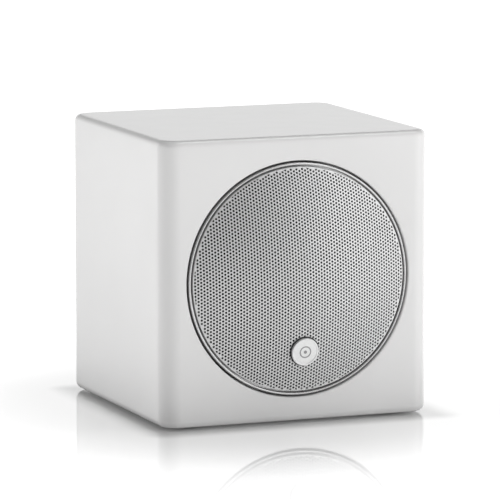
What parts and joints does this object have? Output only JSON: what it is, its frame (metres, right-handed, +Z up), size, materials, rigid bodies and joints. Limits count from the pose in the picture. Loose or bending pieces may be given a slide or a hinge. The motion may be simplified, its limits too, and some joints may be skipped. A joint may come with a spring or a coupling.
{
  "type": "bookshelf speaker",
  "caption": "Compact near-cubic bookshelf speaker: gloss white cabinet, round domed perforated grille in a silver ring, coaxial driver, recessed binding posts.",
  "frame": {"origin": "middle of the speaker's outer box, on the surface that its feet stand on", "axes": "the front with its grille faces -Y, the binding posts face +Y, +X is to the right seen from the front, +Z is up"},
  "size_m": [0.125, 0.1276, 0.1258],
  "materials": {
    "lacquer": "high-gloss white lacquer over MDF",
    "silver_trim": "satin silver",
    "grille_metal": "perforated sheet, fine silver powder coat",
    "badge_metal": "satin silver",
    "grille_cloth": "fine black acoustic cloth",
    "black_plastic": "fine-textured moulded black",
    "red_plastic": "semi-gloss red",
    "rubber": "matt black",
    "steel": "zinc plated, machined",
    "black_steel": "black zinc plated",
    "brass": "gold plated",
    "cast_alloy": "dark powder-coated casting",
    "cone_metal": "satin anodised",
    "ferrite": "ground matt dark grey",
    "copper": "enamelled copper windings",
    "circuit_board": "green solder mask",
    "film_capacitor": "yellow tape wrap",
    "ceramic": "unglazed white",
    "fibre": "resin-treated fibre",
    "wadding": "loose white polyester fibre",
    "foam": "closed-cell foam"
  },
  "bodies": {
    "cabinet": {"cabinet_shell": "lacquer", "rear_panel": "black_plastic", "rear_panel_gasket": "foam", "wall_bracket_insert": "brass", "terminal_cup": "black_plastic", "trim_ring": "silver_trim", "driver_frame": "cast_alloy", "driver_gasket": "foam", "top_plate": "steel", "ring_magnet": "ferrite", "pole_piece": "steel", "surround": "rubber", "spider": "fibre", "driver_terminal_strip": "fibre", "tweeter_housing": "black_plastic", "tweeter_magnet": "steel", "tweeter_faceplate": "black_plastic", "crossover_board": "circuit_board", "board_foam_pad": "foam", "bass_inductor": "copper", "tweeter_inductor": "copper", "electrolytic_capacitor": "black_plastic", "film_capacitor": "film_capacitor", "ceramic_resistor": "ceramic", "positive_post_wire": "red_plastic", "negative_post_wire": "black_plastic", "driver_lead": "black_plastic", "tweeter_lead": "black_plastic", "damping_wadding": "wadding", "foot_1": "rubber", "rear_panel_screw_1": "black_steel", "driver_screw_1": "black_steel", "foot_2": "rubber", "rear_panel_screw_2": "black_steel", "driver_screw_2": "black_steel", "foot_3": "rubber", "rear_panel_screw_3": "black_steel", "driver_screw_3": "black_steel", "foot_4": "rubber", "rear_panel_screw_4": "black_steel", "driver_screw_4": "black_steel", "terminal_cup_screw_1": "black_steel", "terminal_cup_screw_2": "black_steel", "positive_post_stud": "brass", "positive_post_nut": "brass", "positive_post_base": "red_plastic", "negative_post_stud": "brass", "negative_post_nut": "brass", "negative_post_base": "black_plastic"},
    "grille": {"grille_mesh": "grille_metal", "grille_cloth": "grille_cloth", "grille_frame": "black_plastic", "badge": "badge_metal"},
    "cone": {"cone": "cone_metal", "voice_coil": "copper"},
    "tweeter_dome": {"tweeter_dome": "cone_metal"},
    "positive_washer": {"positive_post_washer": "brass"},
    "positive_cap": {"positive_post_cap": "red_plastic"},
    "negative_washer": {"negative_post_washer": "brass"},
    "negative_cap": {"negative_post_cap": "black_plastic"}
  },
  "joints": [
    {"name": "grille_pull", "type": "slide", "parent": "cabinet", "child": "grille", "axis": [0, -1, 0], "range_m": [0, 0.04]},
    {"name": "cone_travel", "type": "slide", "parent": "cabinet", "child": "cone", "axis": [0, -1, 0], "range_m": [-0.003, 0.003], "stiffness_N_per_m": 1000, "deforming": ["surround", "spider"]},
    {"name": "tweeter_travel", "type": "slide", "parent": "cabinet", "child": "tweeter_dome", "axis": [0, -1, 0], "range_m": [-0.0003, 0.0003], "stiffness_N_per_m": 800},
    {"name": "positive_cap_lift", "type": "slide", "parent": "cabinet", "child": "positive_washer", "axis": [0, 1, 0], "range_m": [0, 0.004]},
    {"name": "positive_cap_turn", "type": "hinge", "parent": "positive_washer", "child": "positive_cap", "pos_m": [-0.0095, 0.05135, 0.0466], "axis": [0, 1, 0], "range_deg": [0, 1440]},
    {"name": "negative_cap_lift", "type": "slide", "parent": "cabinet", "child": "negative_washer", "axis": [0, 1, 0], "range_m": [0, 0.004]},
    {"name": "negative_cap_turn", "type": "hinge", "parent": "negative_washer", "child": "negative_cap", "pos_m": [0.0095, 0.05135, 0.0466], "axis": [0, 1, 0], "range_deg": [0, 1440]}
  ],
  "couplings": [
    {"joint": "positive_cap_turn", "follows": "positive_cap_lift", "rad_per_m": 6283.2},
    {"joint": "negative_cap_turn", "follows": "negative_cap_lift", "rad_per_m": 6283.2}
  ]
}
